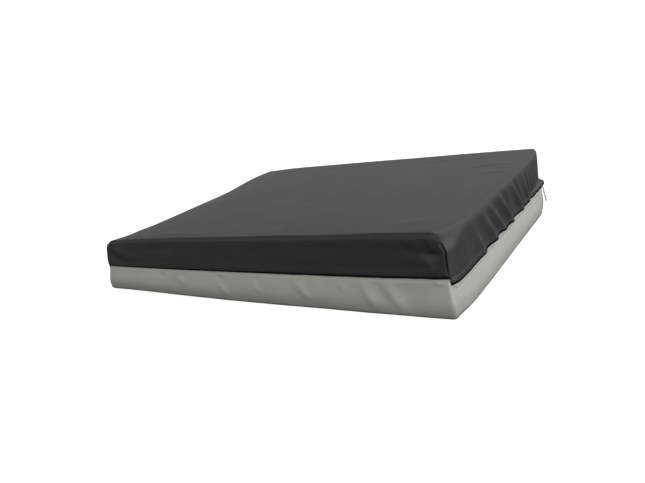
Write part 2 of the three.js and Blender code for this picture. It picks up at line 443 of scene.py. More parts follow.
def seam_height(x):
    """The front seam bows down a little between its ends."""
    u = x / HALF_X
    return SEAM - 1.2 + 0.5 * u + 3.2 * u**4


def cover_edge(places, outward):
    """Height of the cover's free edge: the front seam, then the skirt's hem, which steps down behind it."""
    x, y = places[:, 0], places[:, 1]
    step_down = np.maximum(smooth(-HALF_Y, -HALF_Y + 4, y), smooth(0.3, 0.7, np.abs(outward[:, 0])))
    hem = HEM + 1.5 + 0.8 * np.sin(y / 37) * np.cos(x / 53) + 3 * smooth(60, 200, y) * (x > 0)
    hem += hem_wave(y, RIGHT_FOLDS) * smooth(HALF_X - 6, HALF_X - 1, x)
    hem += hem_wave(y, LEFT_FOLDS) * smooth(HALF_X - 6, HALF_X - 1, -x)
    hem += hem_wave(x, BACK_FOLDS) * smooth(HALF_Y - 6, HALF_Y - 1, y)
    return seam_height(x) + 0.3 + (hem - seam_height(x) - 0.3) * step_down


def cover_shape(points, facing):
    """Turns the plain rounded box into the worn cover."""
    x, y, z = points.T
    shaped = points.copy()
    up = np.clip((z - HEM) / (TOP - HEM), 0, 1)
    wall = 1 - smooth(0.5, 0.95, facing[:, 2])
    front = smooth(0.35, 0.9, -facing[:, 1])
    skirt = smooth(0.5, 0.9, np.maximum(np.abs(facing[:, 0]), facing[:, 1]))
    # The long edges are soft: the right one most at the front, the left one in the middle.
    soft_right = 36 - 20 * smooth(-340, -285, y) - 4 * smooth(-100, HALF_Y, y)
    soft_left = 30 + 26 * smooth(-345, -200, y) * (1 - smooth(30, HALF_Y, y)) - 19 * smooth(30, HALF_Y, y)
    shaped = round_corner(shaped, (1, 1), (HALF_X, TOP), soft_right, COVER_ROLL, (0, 2))
    shaped = round_corner(shaped, (-1, 1), (HALF_X, TOP), soft_left, COVER_ROLL, (0, 2))

    for side, creases in (
        ("right", folds_of(RIGHT_FOLDS)),
        ("back", folds_of(BACK_FOLDS)),
        ("left", folds_of(LEFT_FOLDS)),
        ("front", creases_of(FRONT_CREASES)),
    ):
        shaped += on_side(points, facing, side, creases)

    outward = facing.copy()
    outward[:, 2] = 0
    # The hem is folded and sewn: a shallow groove along its stitching, and a slight flare below.
    above_hem = z - HEM
    groove = -0.6 * bump(above_hem, HEM_BAND, 1.2) + 0.2 * (1 - smooth(HEM_BAND - 2, HEM_BAND, above_hem))
    flare = 1.6 * (1 - smooth(0, 24, above_hem))
    turned_under = -1.8 * (1 - smooth(0, 3.6, above_hem))
    # The front wall is full, and drawn in where it is sewn to the base.
    belly = 1.6 * np.sin(np.pi * np.clip((z - SEAM) / (TOP - SEAM), 0, 1)) ** 0.7
    tuck = -3.4 * (1 - smooth(0, 5, z - seam_height(x)))
    side_move = wall * (skirt * (groove + flare + turned_under) + front * (belly + tuck))
    shaped += side_move[:, None] * outward

    # Upright slits at the front corners, where the skirt's end lies over the front wall.
    turn = np.degrees(np.arctan2(np.abs(facing[:, 0]), -facing[:, 1]))
    slit = bump(turn, 20, 16) * smooth(SEAM + 2, SEAM + 24, z) * (1 - smooth(118, 146, z)) * (y < 0)
    shaped -= (wall * slit * np.where(x > 0, 6.5, 4.0))[:, None] * outward
    flat = smooth(0.8, 0.99, facing[:, 2])
    place = np.column_stack([x / HALF_X, y / HALF_Y])
    shaped[:, 2] += up * at_corners(place, TOP_RISE)
    shaped[:, 2] += flat * sum(crease(x, y, *line) for line in TOP_RIPPLES)
    shaped[:, 2] += flat * 1.2 * ripple(points, 190, 1)
    droop = smooth(-HALF_Y - 50, -HALF_Y + 70, y) * (1 - 0.6 * smooth(60, HALF_Y, y))
    shaped[:, 2] -= up * 10 * bump(x, -HALF_X, 85) * droop
    # The back corners are drawn in above the hem, which stands out round them.
    shaped = draw_in(round_back(shaped, (HALF_X, HALF_Y), WORN_RIGHT, WORN_LEFT, COVER_CORNER))
    # The near corner is cut back to the slit, and the front left corner leans in towards its top.
    at_front = bump(y, -HALF_Y, 14)
    shaped[:, 0] -= 8 * at_front * smooth(HALF_X - 60, HALF_X - 2, x)
    leaning = 9 * smooth(84, 130, z) * bump(y, -HALF_Y, 60)
    shaped[:, 0] += leaning * smooth(HALF_X - 90, HALF_X - 10, -x)
    shaped += (wall * (0.3 + 0.6 * skirt) * ripple(points, 34, 2))[:, None] * outward
    return shaped


def make_cover():
    rises = [0, 2.2, 4.8, 7.5, 10.5, 13, 14, 15, 16, 17.5, 20, 23, 26.5] + list(range(30, 71, 4))
    points, facing, faces, wall = tray(
        (HALF_X, HALF_Y), 0, COVER_ROLL, COVER_CORNER, 5.0, rises, cover_edge, TOP
    )
    shaped = cover_shape(points, facing)
    piece = mesh_object("cover_top", shaped, faces, [cover_fabric, cover_lining, painted_hem_shadow], "cover")
    # Painted shade: the lowest two wall rows take the near-black painted hem shadow, standing in for the
    # shadow under the hem.
    for polygon in piece.data.polygons[-2 * wall.shape[1]:]:
        polygon.material_index = 2
    thicken(piece, FABRIC)
    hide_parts("top_cover")
    return piece, shaped, facing, wall


# ---- Base ----
BASE_HALF = ((BASE_HIGH[0] - BASE_LOW[0]) / 2, (BASE_HIGH[1] - BASE_LOW[1]) / 2)
BASE_MIDDLE = (BASE_HIGH[1] + BASE_LOW[1]) / 2
ZIP_EDGE = 63.0  # the base's upper edge on the zipped sides

# Puckers of the base's front panel, below the seam: start, end, width, height.
BASE_CREASES = [
    ((-330, 64), (-318, 52), 6, -1.6),
    ((-266, 62), (-250, 50), 6, -2.0),
    ((-212, 56), (-184, 38), 5, 1.6),
    ((-196, 64), (-182, 54), 6, -2.2),
    ((-90, 64), (-76, 54), 6, -2.2),
    ((-86, 50), (-62, 16), 5, 2.6),
    ((12, 64), (28, 54), 6, -2.0),
    ((12, 50), (30, 28), 5, 2.2),
    ((134, 68), (150, 58), 7, -2.0),
    ((118, 58), (154, 22), 6, 2.8),
    ((172, 69), (182, 58), 5, -1.6),
    ((222, 62), (234, 42), 6, 1.8),
    ((268, 64), (302, 12), 8, 3.2),
    ((290, 68), (330, 20), 8, -2.0),
    ((312, 70), (358, 8), 9, 3.0),
    ((346, 70), (378, 10), 32, -5.0),
    ((404, 73), (440, 64), 4, 2.6),
]
BASE_SIDE_CREASES = [
    ((-320, 58), (-296, 16), 12, 1.2),
    ((-214, 58), (-170, 10), 14, 1.5),
    ((-120, 60), (-96, 20), 12, 1.2),
    ((-30, 58), (10, 14), 13, 1.4),
    ((90, 60), (112, 20), 11, 1.1),
    ((180, 58), (214, 12), 12, 1.4),
    ((262, 56), (290, 18), 10, 1.0),
]


def base_edge(places, outward):
    x, y = places[:, 0], places[:, 1] + BASE_MIDDLE
    step_down = smooth(-HALF_Y + 3, -HALF_Y + 12, y)
    return -(seam_height(x) - 0.3 + (ZIP_EDGE - seam_height(x) + 0.3) * step_down)


def corner_curl(x, y, z):
    """The front left corner curls up off the floor."""
    curl = 11 * bump(x, -HALF_X, 300) * bump(y, -HALF_Y, 70)
    return curl * (1 - smooth(0, SEAM, z))


def base_shape(points, facing):
    """Turns the plain rounded tray into the worn base. Heights are still above the underside."""
    x, y, z = points.T
    shaped = points.copy()
    wall = 1 - smooth(0.5, 0.95, -facing[:, 2])
    front = smooth(0.35, 0.9, -facing[:, 1])
    zipped = smooth(-HALF_Y + 6, -HALF_Y + 18, y)
    outward = facing.copy()
    outward[:, 2] = 0
    shaped += on_side(points, facing, "front", creases_of(BASE_CREASES))
    for side in ("right", "left", "back"):
        shaped += on_side(points, facing, side, creases_of(BASE_SIDE_CREASES))
    # The folded upper edge leans in over the zip, above a groove along its stitching.
    below_edge = ZIP_EDGE - z
    lean = -2.6 * (1 - smooth(0, 8, below_edge)) + 1.8 * (1 - smooth(EDGE_BAND - 2, EDGE_BAND, below_edge))
    groove = -1.8 * bump(below_edge, EDGE_BAND, 1.3)
    belly = (1.2 + 4.5 * front) * np.sin(np.pi * np.clip(z / SEAM, 0, 1)) ** 0.9
    spread = 3 + 7 * smooth(0.2, 0.9, facing[:, 0]) * (1 - smooth(250, 320, y)) * smooth(-345, -250, y)
    spread = spread + 4 * front * smooth(100, 380, x)
    belly = belly + spread * (1 - smooth(8, 62, z))
    tuck = -3.4 * (1 - smooth(0, 5, seam_height(x) - z))
    move = wall * (zipped * (lean + groove) + belly + front * tuck)
    shaped += move[:, None] * outward
    shaped[:, 2] += corner_curl(x, y, z)
    # The left wall bulges outwards at its front end, and the back corners are full and round.
    bulge = 8 * bump(y, -HALF_Y, 160) * (1 - smooth(10, 64, z))
    shaped[:, 0] -= bulge * smooth(0.2, 0.9, -facing[:, 0])
    middle = np.array([0, BASE_MIDDLE, 0])
    shaped = round_back(shaped - middle, BASE_HALF, WORN_BASE, WORN_BASE, BASE_CORNER) + middle
    shaped[:, 0] -= 3 * bump(y, HALF_Y, 60) * (1 - smooth(0, 25, z)) * (x > 0)
    shaped[:, 0] -= 5 * bump(y, -HALF_Y, 16) * smooth(0, SEAM, z) * smooth(380, 440, x)
    shaped += (wall * 0.7 * ripple(points, 40, 5))[:, None] * outward
    return shaped


def make_base():
    rises = [0, 1, 2.5, 4.5, 7, 9, 10, 11, 12, 13.5] + list(range(16, 65, 4))
    points, facing, faces, wall = tray(BASE_HALF, BASE_MIDDLE, 6.0, BASE_CORNER, 6.0, rises, base_edge, 0)
    points[:, 2] *= -1
    facing = facing * (1, 1, -1)
    shaped = base_shape(points, facing)
    piece = mesh_object("base_shell", shaped, faces[:, ::-1], [base_fabric, base_lining], "base")
    # Painted shade: the fabric's colour darkens towards the edge it stands on, and more gently up the lower
    # walls, where shade falls.
    painted_bottom_shade = piece.data.attributes.new("painted_bottom_shade", "FLOAT", "POINT")
    height = points[:, 2]
    painted_bottom_shade.data.foreach_set("value", 0.6 * (1 - smooth(4, 10, height)) + 0.3 * (1 - smooth(6, 40, height)))
    thicken(piece, FABRIC)
    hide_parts("base_cover")
    return piece, shaped, facing, wall


# ---- Copies of a small shape along a line ----
def along_line(line, spacing):
    """Evenly spaced places on a line of points: the point before each, the step from it, and the place."""
    lengths = np.concatenate([[0], np.cumsum(np.linalg.norm(np.diff(line, axis=0), axis=1))])
    wanted = np.arange(spacing / 2, lengths[-1], spacing)
    index = np.clip(np.searchsorted(lengths, wanted) - 1, 0, len(line) - 2)
    fraction = (wanted - lengths[index]) / np.maximum(lengths[index + 1] - lengths[index], 1e-9)
    step = line[index + 1] - line[index]
    return index, step, line[index] + step * fraction[:, None]


def lay_copies(shape, faces, centres, along, outward):
    """One mesh of many copies. The shape's own axes are along the line, outwards, and across."""
    across = unit(np.cross(along, outward))
    outward = unit(np.cross(across, along))
    basis = np.stack([along, outward, across], 1)
    points = np.einsum("vk,nkj->nvj", shape, basis) + centres[:, None, :]
    shift = np.arange(len(centres)) * len(shape)
    all_faces = [[v + s for v in face] for s in shift for face in faces]
    return points.reshape(-1, 3), all_faces


def stitch_shape(length, radius):
    """A short length of thread whose ends dip into the cloth."""
    sides = 6
    stations = [(-0.5, 0.45, -0.9), (-0.36, 0.9, 0.1), (0, 1.0, 0.45), (0.36, 0.9, 0.1), (0.5, 0.45, -0.9)]
    points = []
    for place, share, lift in stations:
        for k in range(sides):
            angle = 2 * math.pi * k / sides
            out, over = lift + share * math.cos(angle), share * math.sin(angle)
            points.append((place * length, radius * out, radius * over))
    return np.array(points), tube_faces(len(stations), sides)


def sew(name, line, outward, material, body, length=3.1, gap=1.1, radius=0.34):
    index, step, centres = along_line(line, length + gap)
    shape, faces = stitch_shape(length, radius)
    points, all_faces = lay_copies(shape, faces, centres, unit(step), unit(outward[index]))
    return mesh_object(name, points, all_faces, [material], body)


# ---- Zip ----
def zip_line(half_x, back, front, corner, step=2.0):
    """Up the right side, round the back corners and down the left, with the outward direction."""
    points, out = [], []

    def add(x, y, angle):
        points.append((x, y))
        out.append((math.cos(angle), math.sin(angle)))

    def bend(centre_x, start):
        for angle in np.linspace(start, start + math.pi / 2, 8):
            add(centre_x + corner * math.cos(angle), back - corner + corner * math.sin(angle), angle)

    for y in np.arange(front, back - corner, step):
        add(half_x, y, 0)
    bend(half_x - corner, 0)
    for x in np.arange(half_x - corner - step, -half_x + corner, -step):
        add(x, back, math.pi / 2)
    bend(-half_x + corner, math.pi / 2)
    for y in np.arange(back - corner - step, front, -step):
        add(-half_x, y, math.pi)
    return np.array(points), np.array(out)


def make_coil(node, body, phase):
    """A nylon coil: a flattened helix along the zip."""
    low, high = box_mm(node)
    depth, height = 2.0, high[2] - low[2]
    pitch, steps, thread = 2.3, 6, 0.36
    path, out = zip_line(high[0] - depth / 2, high[1] - depth / 2, low[1], ZIP_CORNER, 1.0)
    path3 = np.column_stack([path, np.full(len(path), (low[2] + high[2]) / 2)])
    index, step, centres = along_line(path3, pitch / steps)
    tangent = unit(step)
    outward = np.column_stack([out[index], np.zeros(len(index))])
    angle = 2 * math.pi * np.arange(len(index)) / steps + phase
    radial = np.cos(angle)[:, None] * outward + np.sin(angle)[:, None] * np.array([0, 0, 1])
    reach = np.array([depth / 2 - thread, depth / 2 - thread, height / 2 - thread])
    helix = centres + radial * reach
    ring = [(1, 0), (0, 1), (-1, 0), (0, -1)]
    sections = np.stack([helix + thread * (a * unit(radial) + b * tangent) for a, b in ring], 1)
    faces = tube_faces(len(helix), len(ring))
    piece = mesh_object(node + "_spiral", sections.reshape(-1, 3), faces, [coil_nylon], body)
    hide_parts(node)


def make_tape(node, body):
    """A woven tape on edge, with a corded selvedge along the coil."""
    low, high = box_mm(node)
    path, out = zip_line(high[0] - TAPE / 2, high[1] - TAPE / 2, low[1], ZIP_CORNER, 3.0)
    coil_side = 1 if body == "base" else -1
    rows = []
    for share in np.linspace(-1, 1, 11):
        z = (low[2] + high[2]) / 2 + share * (high[2] - low[2]) / 2
        cord = 0.35 * bump(share * coil_side, 0.86, 0.1)
        rows.append(np.column_stack([path + out * cord, np.full(len(path), z)]))
    points, faces = strip(rows)
    piece = mesh_object(node + "_woven", draw_in(points), faces, [tape_weave], body)
    thicken(piece, TAPE)
    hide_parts(node)


def make_facing():
    """The strip behind the skirt: sewn to the skirt above, and to the upper tape below."""
    low, high = box_mm("zip_facing")
    rows = []
    for z in np.linspace(low[2], high[2], 9):
        t = (z - low[2]) / (high[2] - low[2])
        inset = 5.4 - 3.4 * smooth(0.55, 1.0, t) + 0.4 * math.sin(3 * math.pi * t)
        line, out = zip_line(HALF_X - inset, HALF_Y - inset, -HALF_Y + 15, ZIP_CORNER + 5 - inset, 5.0)
        wave = 0.35 * np.sin(np.arange(len(line)) * 0.37) * math.sin(math.pi * t)
        rows.append(np.column_stack([line + out * wave[:, None], np.full(len(line), z)]))
    shortest = min(len(r) for r in rows)
    rows = [r[np.linspace(0, len(r) - 1, shortest).round().astype(int)] for r in rows]
    points, faces = strip(rows)
    piece = mesh_object("zip_facing_strip", draw_in(points), faces, [cover_fabric, cover_lining], "cover")
    thicken(piece, FACING)
    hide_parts("zip_facing")
    return piece


PULL_LENGTH = 50  # about how far a pull hangs below the seam's height
PULL_LEAN = 7.0  # how far its lower end then stands out, over the base's belly


def hang_out(point, towards):
    below = max(0.0, float(SEAM) - point.z / MM)
    return point + PULL_LEAN * MM * (below / PULL_LENGTH) ** 1.4 * Vector(towards)


def metal_part(node, name, body, bevel, towards=(0, 0, 0)):
    """A small CAD piece with its edges rounded. A pull's lower end also leans towards one side."""
    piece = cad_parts[node].copy()
    piece.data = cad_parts[node].data.copy()
    for key in list(piece.keys()):
        del piece[key]
    piece.name = name
    piece.parent = None
    piece.matrix_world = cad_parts[node].matrix_world.copy()
    bpy.context.collection.objects.link(piece)
    mesh = bmesh.new()
    mesh.from_mesh(piece.data)
    bmesh.ops.remove_doubles(mesh, verts=mesh.verts, dist=0.01 * MM)
    bmesh.ops.dissolve_limit(mesh, angle_limit=math.radians(2), verts=mesh.verts, edges=mesh.edges)
    mesh.to_mesh(piece.data)
    mesh.free()
    edge = piece.modifiers.new("edges", "BEVEL")
    edge.width = bevel * MM
    edge.segments = 3
    edge.limit_method = "ANGLE"
    edge.angle_limit = math.radians(35)
    apply_modifiers(piece)
    piece.data.materials.clear()
    piece.data.materials.append(slider_metal)
    piece.data.shade_smooth()
    piece.data.set_sharp_from_angle(angle=math.radians(40))
    for vertex in piece.data.vertices:
        vertex.co = hang_out(vertex.co, towards)
    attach(piece, body)
    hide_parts(node)


def make_zip():
    make_coil("zip_coil_upper", "cover", 0)
    make_coil("zip_coil_lower", "base", math.pi)
    make_tape("zip_tape_upper", "cover")
    make_tape("zip_tape_lower", "base")
    for side in ("right", "left"):
        metal_part("zip_stop_" + side, "end_clip_" + side, "base", 0.35)
    for side, towards in (("right", (1, 0.7, 0)), ("back", (0.7, 1, 0))):
        metal_part("zip_slider_" + side, "slider_body_" + side, "slider_" + side, 0.22)
        metal_part("zip_pull_" + side, "pull_tab_" + side, "pull_" + side, 0.3, towards)


# ---- Front seam ----
def make_front_seam():
    """The binding inside the front seam."""
    xs = np.linspace(-HALF_X + 12, HALF_X - 12, 180)
    rows = []
    for h in np.linspace(-7, 7, 11):
        inward = 5.2 - 0.6 * bump(h, 0, 2.5)
        wave = 0.1 * np.sin(xs / 9)
        rows.append(np.column_stack([xs, -HALF_Y + inward + wave, seam_height(xs) + h]))
    points, faces = strip(rows)
    piece = mesh_object("front_seam_binding", points, faces, [cover_fabric, cover_lining], None)
    thicken(piece, BINDING)
    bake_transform(piece)
    return piece


# ---- Foam ----
FRONT_GAP = 5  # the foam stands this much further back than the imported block, clear of the front's dents


def under_cover(points, cover_mesh):
    """Lowers any foam point that would stand within 2 mm of the cover above it."""
    tree = BVHTree.FromObject(cover_mesh, bpy.context.evaluated_depsgraph_get())
    kept = points.copy()
    for n, point in enumerate(points):
        start = Vector((point[0] * MM, point[1] * MM, SEAM * MM))
        hit = tree.ray_cast(start, Vector((0, 0, 1)))[0]
        if hit is not None:
            kept[n, 2] = min(point[2], hit.z / MM - 2)
    return kept


def foam_corners(points):
    """Rounds the foam's cut back corners."""
    return round_back(points, FOAM_HIGH[:2], FOAM_CORNER, FOAM_CORNER, (1, 1, 1, 1))


def cell_lines(low, high, count, cut):
    """Grid lines across a row of cells: close together at each cut, and how deep the cut is at each."""
    places, depths = [], []
    edges = np.linspace(low, high, count + 1)
    shoulder = [(0, 1.0), (cut * 0.42, 1.0), (cut * 0.5, 0.16), (cut * 0.8, 0.05), (cut * 1.5, 0.015)]
    both_sides = [(-offset, depth) for offset, depth in shoulder[1:]] + shoulder
    for edge in edges[1:-1]:
        places += [edge + offset for offset, _ in both_sides]
        depths += [depth for _, depth in both_sides]
    between = []
    for a, b in zip(edges[:-1], edges[1:]):
        between += list(np.linspace(a, b, 6)[1:-1])
    between += [low, low + 1.5, high - 1.5, high]
    places += between
    depths += [0.0] * len(between)
    order = np.argsort(places)
    return np.array(places)[order], np.array(depths)[order]


def make_foam_top(cover_mesh):
    """The soft layer, cut into cells whose tops are slightly domed."""
    across, along, cut, cut_depth = 9, 7, 4.0, 32.0
    front = FOAM_LOW[1] + FRONT_GAP
    xs, dx = cell_lines(FOAM_LOW[0], FOAM_HIGH[0], across, cut)
    ys, dy = cell_lines(front, FOAM_HIGH[1], along, cut)
    X, Y = np.meshgrid(xs, ys, indexing="ij")
    cut_here = np.maximum(*np.meshgrid(dx, dy, indexing="ij"))
    size_x = (FOAM_HIGH[0] - FOAM_LOW[0]) / across
    size_y = (FOAM_HIGH[1] - front) / along
    cell_x = np.sin(np.pi * ((X - FOAM_LOW[0]) / size_x % 1))
    cell_y = np.sin(np.pi * ((Y - front) / size_y % 1))
    edge = np.minimum.reduce([X - FOAM_LOW[0], FOAM_HIGH[0] - X, Y - front, FOAM_HIGH[1] - Y])
    roll = FOAM_CORNER * (1 - np.sqrt(np.clip(1 - (1 - np.clip(edge / FOAM_CORNER, 0, 1)) ** 2, 0, 1)))
    dome = 2.0 * (cell_x * cell_y) ** 0.6
    full = FOAM_HIGH[2] + 4 - roll + dome
    plain = foam_corners(np.stack([X, Y, full], -1).reshape(-1, 3))
    upper = under_cover(draw_in(plain), cover_mesh)
    upper[:, 2] += (dome - 2.0 - cut_depth * cut_here).ravel()
    nx, ny = X.shape
    loop = perimeter(nx, ny)
    ring = loop[:, 0] * ny + loop[:, 1]
    rows = []
    for share in (0.25, 0.5, 0.75, 1.0):
        row = plain[ring].copy()
        row[:, 2] = upper[ring, 2] * (1 - share) + (FOAM_LOW[2] + 0.2) * share
        rows.append(draw_in(row))
    faces, wall = walled_faces(nx, ny, loop, len(rows))
    faces = faces.tolist() + [wall[-1, ::-1].tolist()]
    points = np.concatenate([upper] + rows)
    piece = mesh_object("foam_cells", points, faces, [soft_foam], "base")
    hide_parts("foam_top_layer")


def make_foam_block(node, name, material):
    """A lower foam block: cut edges, slightly rounded, with faces that aren't quite flat."""
    low, high = box_mm(node)
    low = low + (0, FRONT_GAP, 1)
    mesh = bmesh.new()
    bmesh.ops.create_cube(mesh, size=1)
    size, middle = high - low, (high + low) / 2
    for vertex in mesh.verts:
        vertex.co = Vector(middle + np.array(vertex.co) * (size - 0.4)) * MM
    bmesh.ops.bevel(
        mesh, geom=list(mesh.edges), offset=3.0 * MM, segments=3, affect="EDGES", profile=0.5,
        clamp_overlap=True,
    )
    bmesh.ops.subdivide_edges(
        mesh, edges=[e for e in mesh.edges if e.calc_length() > 40 * MM], cuts=14, use_grid_fill=True
    )
    data = bpy.data.meshes.new(name)
    mesh.to_mesh(data)
    mesh.free()
    data.shade_smooth()
    for vertex in data.vertices:
        inward = Vector(middle * MM) - vertex.co
        shift = 0.5 * MM * (0.5 + 0.5 * noise.noise(vertex.co / (60 * MM)))
        vertex.co += Vector([math.copysign(shift, c) for c in inward])
        vertex.co.z += corner_curl(*(vertex.co / MM)) * MM
    points = foam_corners(np.array([vertex.co for vertex in data.vertices]) / MM)
    for vertex, point in zip(data.vertices, draw_in(points)):
        vertex.co = Vector(point) * MM
    data.materials.append(material)
    piece = new_object(name, data)
    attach(piece, "base")
    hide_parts(node)


# ---- Materials ----
class Nodes:
    """A node tree, built up by small calls."""

    def __init__(self, tree):
        self.tree = tree

    def feed(self, socket, value):
        """Gives an input a number, a colour or a link."""
        if isinstance(value, bpy.types.NodeSocket):
            self.tree.links.new(value, socket)
        elif isinstance(value, tuple):
            socket.default_value = (*value, 1)
        else:
            socket.default_value = value

    def add(self, kind, inputs=(), **settings):
        made = self.tree.nodes.new(kind)
        for key, value in settings.items():
            setattr(made, key, value)
        for key, value in dict(inputs).items():
            self.feed(made.inputs[key], value)
        return made

    def math(self, operation, a, b=0.0):
        return self.add("ShaderNodeMath", {0: a, 1: b}, operation=operation).outputs[0]

    def spread(self, value, low, high, start=0.0, end=1.0, **settings):
        """Goes from low to high while the value goes from start to end."""
        inputs = {"Value": value, "From Min": start, "From Max": end, "To Min": low, "To Max": high}
        return self.add("ShaderNodeMapRange", inputs, **settings).outputs["Result"]


class Shader(Nodes):
    """A material. Places are in metres in the piece's own axes."""

    def __init__(self, name):
        self.material = bpy.data.materials.new(name)
        self.material.use_nodes = True
        super().__init__(self.material.node_tree)
        self.surface = self.tree.nodes["Principled BSDF"]
        self.place = self.add("ShaderNodeTexCoord").outputs["Object"]

    def noise(self, size, detail=3.0, roughness=0.5):
        """Noise from 0 to 1 with features of about this size in millimetres."""
        inputs = {"Vector": self.place, "Scale": 1 / (size * MM), "Detail": detail, "Roughness": roughness}
        return self.add("ShaderNodeTexNoise", inputs).outputs["Fac"]

    def cells(self, size):
        inputs = {"Vector": self.place, "Scale": 1 / (size * MM)}
        return self.add("ShaderNodeTexVoronoi", inputs).outputs["Distance"]

    def weave(self, pitch):
        """Crossing threads that look the same on every side of the piece."""
        axes = self.add("ShaderNodeSeparateXYZ", {0: self.place})
        turn = 2 * math.pi / (pitch * MM)
        angles = [self.math("MULTIPLY", axis, turn) for axis in axes.outputs]
        total = None
        for first, second in ((0, 1), (1, 2), (2, 0)):
            waves = self.math("SINE", angles[first]), self.math("COSINE", angles[second])
            product = self.math("MULTIPLY", *waves)
            total = product if total is None else self.math("ADD", total, product)
        return total

    def mix_colour(self, factor, first, second):
        return self.add("ShaderNodeMix", {0: factor, 6: first, 7: second}, data_type="RGBA").outputs[2]

    def tint(self, factor, dark, light):
        self.set(Base_Color=self.mix_colour(factor, dark, light))

    def stored(self, name):
        """A number kept on the mesh's own points."""
        return self.add("ShaderNodeAttribute", attribute_name=name).outputs["Fac"]

    def relief(self, layers):
        """Bump from (height, depth in millimetres) layers."""
        below = {}
        for height, depth in layers:
            inputs = {"Strength": 1.0, "Distance": depth * MM, "Height": height, **below}
            below = {"Normal": self.add("ShaderNodeBump", inputs).outputs["Normal"]}
        self.set(**below)

    def set(self, **values):
        """Numbers, colours or links for the surface itself."""
        for name, value in values.items():
            self.feed(self.surface.inputs[name.replace("_", " ")], value)


def coated_fabric(name, dark, light, rough, painted_bottom_shade=None):
    """Stretch knit under a soft polyurethane coat: satin, with the knit just showing through."""
    shader = Shader(name)
    colour = shader.mix_colour(shader.noise(60, 5.0, 0.6), dark, light)
    # Painted shade: when given, a dark colour is mixed in where the mesh stores its painted bottom shade.
    if painted_bottom_shade:
        colour = shader.mix_colour(shader.stored("painted_bottom_shade"), colour, painted_bottom_shade)
    shader.set(Base_Color=colour)
    shader.set(Roughness=shader.spread(shader.noise(35, 3.0), rough - 0.03, rough + 0.03))
    dents = (shader.noise(26, 2.0), 0.3)
    grain = (shader.noise(2.2, 4.0, 0.65), 0.05)
    shader.relief([dents, grain, (shader.weave(0.9), 0.018), (shader.cells(0.55), 0.03)])
    return shader


def make_cover_fabric():
    shader = coated_fabric("cover_fabric", (0.019, 0.019, 0.0195), (0.0225, 0.0225, 0.023), 0.46)
    shader.set(Specular_IOR_Level=0.25, Sheen_Weight=0.04, Sheen_Roughness=0.4)
    return shader.material


def make_base_fabric():
    # The colour of the painted shade along the base's bottom edge.
    painted_bottom_shade = (0.08, 0.082, 0.075)
    shader = coated_fabric("base_fabric", (0.262, 0.266, 0.244), (0.305, 0.309, 0.287), 0.5, painted_bottom_shade)
    shader.set(Specular_IOR_Level=0.3, Sheen_Weight=0.04, Sheen_Roughness=0.5)
    return shader.material


def make_lining(name, dark, light):
    """The uncoated back of the fabric: a fine warp knit."""
    shader = Shader(name)
    shader.tint(shader.spread(shader.weave(1.6), 0.2, 0.8), dark, light)
    shader.set(Roughness=0.9, Sheen_Weight=0.25, Sheen_Roughness=0.6)
    shader.relief([(shader.noise(30, 2.0), 0.8), (shader.weave(1.6), 0.12), (shader.noise(1.2, 3.0), 0.05)])
    return shader.material


BLACK_NYLON = ((0.012, 0.012, 0.013), (0.03, 0.03, 0.032))  # thread and tape, darkest and lightest


def make_thread(name, dark, light):
    shader = Shader(name)
    shader.tint(shader.noise(2.0, 2.0), dark, light)
    shader.set(Roughness=0.6, Sheen_Weight=0.2)
    shader.relief([(shader.weave(0.35), 0.05)])
    return shader.material


def make_painted_hem_shadow():
    """Painted shade: a near-black band along the cover's free edge, standing in for the shadow under the hem.
    """
    shader = Shader("painted_hem_shadow")
    shader.tint(shader.noise(2.0, 2.0), (0.003, 0.003, 0.003), (0.006, 0.006, 0.006))
    shader.set(Roughness=0.9, Specular_IOR_Level=0.08)
    shader.relief([(shader.weave(0.8), 0.06)])
    return shader.material


def make_tape_weave():
    shader = Shader("zip_tape")
    threads = shader.spread(shader.weave(1.1), 0.1, 0.9)
    shader.tint(threads, *BLACK_NYLON)
    shader.set(Roughness=0.85, Sheen_Weight=0.15)
    shader.relief([(shader.weave(1.1), 0.1), (shader.noise(0.8, 2.0), 0.04)])
    return shader.material


def make_coil_nylon():
    shader = Shader("zip_coil")
    shader.tint(shader.noise(12, 2.0), (0.014, 0.014, 0.015), (0.022, 0.022, 0.023))
    shader.set(Roughness=shader.spread(shader.noise(3.0, 2.0), 0.28, 0.42))
    shader.relief([(shader.noise(0.5, 2.0), 0.02)])
    return shader.material


def make_slider_metal():
    """Die-cast zinc with a plated finish, rubbed dull in places."""
    shader = Shader("slider_metal")
    shader.tint(shader.noise(4.0, 4.0, 0.6), (0.27, 0.27, 0.28), (0.42, 0.42, 0.43))
    shader.set(Roughness=shader.spread(shader.noise(1.5, 4.0, 0.6), 0.3, 0.5))
    shader.set(Metallic=0.85)
    shader.relief([(shader.noise(0.6, 3.0), 0.02), (shader.noise(5.0, 1.0), 0.05)])
    return shader.material


def make_foam_material(name, dark, light, pore):
    """Cut polyurethane foam: open pores in an even colour that is a little yellower in patches."""
    shader = Shader(name)
    pores = shader.cells(pore)
    patches = shader.noise(90, 3.0)
    shade = shader.math("ADD", shader.math("MULTIPLY", pores, 0.8), shader.math("MULTIPLY", patches, 0.35))
    shader.tint(shade, dark, light)
    shader.set(Roughness=0.95, Specular_IOR_Level=0.2, Sheen_Weight=0.2)
    shader.relief([(pores, 0.5), (shader.noise(pore * 3, 3.0), 0.3)])
    return shader.material


